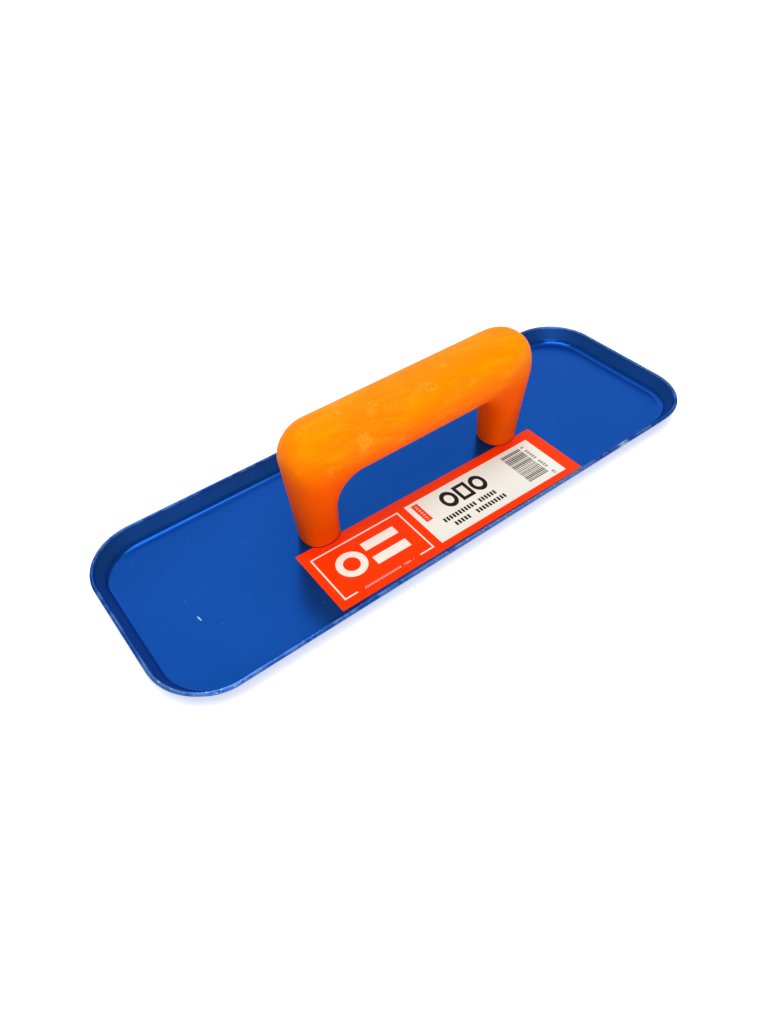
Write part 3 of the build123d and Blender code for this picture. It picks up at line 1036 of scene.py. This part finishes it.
class FLOAT_OT_stage(bpy.types.Operator):
    """Set up the floor, the lights and the camera"""

    bl_idname = "handfloat.stage"
    bl_label = "Stage"

    def execute(self, context):
        stage = context.scene.float_stage
        half = stage.floor_size / 2
        mesh = bpy.data.meshes.new("studio_floor")
        corners = [(-half, -half), (half, -half), (half, half), (-half, half)]
        mesh.from_pydata([(x, y, -FLOOR_DROP) for x, y in corners], [], [(0, 1, 2, 3)])
        floor = bpy.data.objects.new("studio_floor", mesh)
        context.scene.collection.objects.link(floor)
        floor.data.materials.append(floor_finish(stage.floor, stage.floor_glow))
        soft_light("key_softbox", KEY_PLACE, KEY_SIZE, stage.key_light)
        soft_light("back_panel", BACK_PLACE, BACK_SIZE, stage.back_light)
        soft_light("fill_softbox", FILL_PLACE, FILL_SIZE, stage.fill_light)
        world = bpy.data.worlds.new("studio_light")
        context.scene.world = world
        world.use_nodes = True
        sky = world.node_tree.nodes["Background"]
        sky.inputs["Color"].default_value = opaque(SKY_COLOUR)
        sky.inputs["Strength"].default_value = stage.sky
        context.scene.view_settings.view_transform = "Standard"
        self.place_camera(context.scene, stage)
        return {"FINISHED"}

    def place_camera(self, scene, stage):
        """Camera on a sphere round its aim, then rolled about its line of sight."""
        cos_a, sin_a = np.cos(stage.azimuth), np.sin(stage.azimuth)
        cos_e, sin_e = np.cos(stage.elevation), np.sin(stage.elevation)
        cos_r, sin_r = np.cos(stage.roll), np.sin(stage.roll)
        back = np.array([sin_a * cos_e, -cos_a * cos_e, sin_e])
        level = np.array([cos_a, sin_a, 0.0])
        over = np.cross(back, level)
        right = level * cos_r + over * sin_r
        up = over * cos_r - level * sin_r
        axes = np.eye(4)
        axes[:3, :3] = np.stack([right, up, back], 1)
        axes[:3, 3] = np.array(stage.aim) + back * stage.distance
        data = bpy.data.cameras.new("studio_camera")
        data.sensor_width = SENSOR_WIDTH_MM
        data.lens = stage.lens
        data.clip_start = NEAREST
        data.clip_end = FARTHEST
        camera = bpy.data.objects.new("studio_camera", data)
        scene.collection.objects.link(camera)
        camera.matrix_world = Matrix(axes.tolist())
        scene.camera = camera


# ---- Add-on ---------------------------------------------------------------------------------


class FLOAT_PT_panel(bpy.types.Panel):
    """Buttons and settings of the hand float"""

    bl_idname = "FLOAT_PT_panel"
    bl_label = "Hand Float"
    bl_space_type = "VIEW_3D"
    bl_region_type = "UI"
    bl_category = "Hand Float"

    def draw(self, context):
        for operator in OPERATORS:
            self.layout.operator(operator.bl_idname)
        for name in SETTINGS:
            box = self.layout.box()
            group = getattr(context.scene, name)
            for key in group.bl_rna.properties.keys():
                if key not in ("rna_type", "name"):
                    box.prop(group, key)


OPERATORS = (
    FLOAT_OT_tray,
    FLOAT_OT_handle,
    FLOAT_OT_label,
    FLOAT_OT_screws,
    FLOAT_OT_inserts,
    FLOAT_OT_stage,
)
SETTINGS = {
    "float_tray": TraySettings,
    "float_handle": HandleSettings,
    "float_label": LabelSettings,
    "float_metal": MetalSettings,
    "float_stage": StageSettings,
}


def register():
    for group in SETTINGS.values():
        bpy.utils.register_class(group)
    for name, group in SETTINGS.items():
        setattr(bpy.types.Scene, name, PointerProperty(type=group))
    for operator in OPERATORS:
        bpy.utils.register_class(operator)
    bpy.utils.register_class(FLOAT_PT_panel)


def unregister():
    bpy.utils.unregister_class(FLOAT_PT_panel)
    for operator in reversed(OPERATORS):
        bpy.utils.unregister_class(operator)
    for name in SETTINGS:
        delattr(bpy.types.Scene, name)
    for group in reversed(SETTINGS.values()):
        bpy.utils.unregister_class(group)


def main():
    """Register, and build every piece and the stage."""
    register()
    bpy.ops.handfloat.tray()
    bpy.ops.handfloat.handle()
    bpy.ops.handfloat.label()
    bpy.ops.handfloat.screws()
    bpy.ops.handfloat.inserts()
    bpy.ops.handfloat.stage()


if __name__ == "__main__":
    main()
